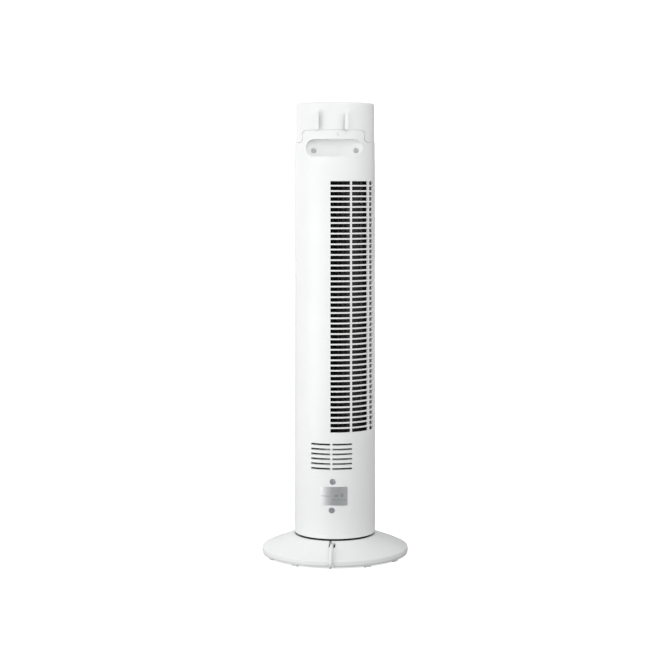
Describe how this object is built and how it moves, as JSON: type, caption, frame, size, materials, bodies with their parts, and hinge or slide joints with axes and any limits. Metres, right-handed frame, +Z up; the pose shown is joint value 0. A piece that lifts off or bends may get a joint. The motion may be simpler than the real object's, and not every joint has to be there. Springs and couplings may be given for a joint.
{
  "type": "tower fan",
  "caption": "Slim white oscillating tower fan with a cross-flow impeller behind slotted grilles, finger recess and remote rails, on a round two-piece base.",
  "frame": {"origin": "centre of the base at the level that the fan stands on", "axes": "+Z up along the tower, -Y the outlet side, +Y the rear with the finger recess and the mains lead"},
  "size_m": [0.2488, 0.2559, 0.76],
  "materials": {
    "tower_shell": "white moulded ABS, fine satin gloss",
    "base_shell": "white moulded ABS, fine satin gloss",
    "panel_gloss": "pale grey panel, smooth",
    "smoked_lens": "smoked display window, polished",
    "button_grey": "grey soft-touch button",
    "black_plastic": "black moulded plastic, matt",
    "white_acetal": "natural acetal",
    "white_pvc": "white flexible PVC",
    "rubber_black": "black rubber",
    "rubber_white": "pale grey-white soft rubber",
    "zinc_steel": "zinc-plated steel",
    "laminated_steel": "bright steel",
    "aluminium_hub": "turned aluminium",
    "brass_contact": "brass or sintered bronze",
    "copper_winding": "enamelled copper wire",
    "circuit_board": "green circuit board",
    "silver_label": "brushed silver foil label, blank"
  },
  "bodies": {
    "base": {"base_left_half": "base_shell", "base_right_half": "base_shell", "rubber_feet": "rubber_white", "base_hub": "black_plastic", "base_screws": "zinc_steel", "slide_ring": "white_acetal", "gear_sector": "white_acetal", "pivot_nut": "black_plastic", "cord_grommet": "white_pvc", "power_cord": "white_pvc", "cord_coil": "white_pvc", "cord_tail": "white_pvc", "cord_tie": "rubber_black", "plug_body": "white_pvc", "plug_blades": "brass_contact", "inner_lead": "white_pvc"},
    "tower": {"rear_housing": "tower_shell", "front_housing": "tower_shell", "front_grille": "tower_shell", "top_cap": "tower_shell", "control_panel": "panel_gloss", "display_lens": "smoked_lens", "rating_label": "silver_label", "handle_screws": "zinc_steel", "rear_screws": "zinc_steel", "turntable": "black_plastic", "lower_chassis": "black_plastic", "chassis_screws": "zinc_steel", "power_board": "circuit_board", "run_capacitor": "black_plastic", "oscillation_motor": "zinc_steel", "oscillation_motor_screws": "zinc_steel", "motor_bulkhead": "black_plastic", "motor_core": "laminated_steel", "motor_windings": "copper_winding", "motor_upper_bracket": "zinc_steel", "motor_lower_bracket": "zinc_steel", "motor_bearings": "brass_contact", "motor_mounts": "rubber_black", "motor_bolts": "zinc_steel", "scroll_wall": "black_plastic", "air_tongue": "black_plastic", "upper_bulkhead": "black_plastic", "upper_bearing": "brass_contact", "bearing_cushion": "rubber_black", "control_board": "circuit_board", "key_switches": "black_plastic"},
    "impeller": {"impeller": "black_plastic", "drive_hub": "aluminium_hub", "motor_shaft": "laminated_steel", "motor_rotor": "laminated_steel", "stub_axle": "laminated_steel"},
    "pinion": {"oscillation_pinion": "white_acetal"},
    "power_button": {"power_button": "button_grey"},
    "speed_button": {"speed_button": "button_grey"},
    "mode_button": {"mode_button": "button_grey"},
    "timer_button": {"timer_button": "button_grey"},
    "swing_button": {"swing_button": "button_grey"}
  },
  "joints": [
    {"name": "tower_swing", "type": "hinge", "parent": "base", "child": "tower", "pos_m": [0, 0, 0.0347], "axis": [0, 0, 1], "range_deg": [-35, 35]},
    {"name": "impeller_spin", "type": "hinge", "parent": "tower", "child": "impeller", "pos_m": [0, 0, 0.42], "axis": [0, 0, 1], "continuous": true},
    {"name": "pinion_spin", "type": "hinge", "parent": "tower", "child": "pinion", "pos_m": [0, -0.03, 0.0395], "axis": [0, 0, 1], "range_deg": [-141, 141]},
    {"name": "power_button_press", "type": "slide", "parent": "tower", "child": "power_button", "axis": [0, 0, -1], "range_m": [0, 0.0008], "stiffness_N_per_m": 400},
    {"name": "speed_button_press", "type": "slide", "parent": "tower", "child": "speed_button", "axis": [0, 0, -1], "range_m": [0, 0.0008], "stiffness_N_per_m": 400},
    {"name": "mode_button_press", "type": "slide", "parent": "tower", "child": "mode_button", "axis": [0, 0, -1], "range_m": [0, 0.0008], "stiffness_N_per_m": 400},
    {"name": "timer_button_press", "type": "slide", "parent": "tower", "child": "timer_button", "axis": [0, 0, -1], "range_m": [0, 0.0008], "stiffness_N_per_m": 400},
    {"name": "swing_button_press", "type": "slide", "parent": "tower", "child": "swing_button", "axis": [0, 0, -1], "range_m": [0, 0.0008], "stiffness_N_per_m": 400}
  ],
  "couplings": [
    {"joint": "pinion_spin", "follows": "tower_swing", "ratio": 4}
  ]
}
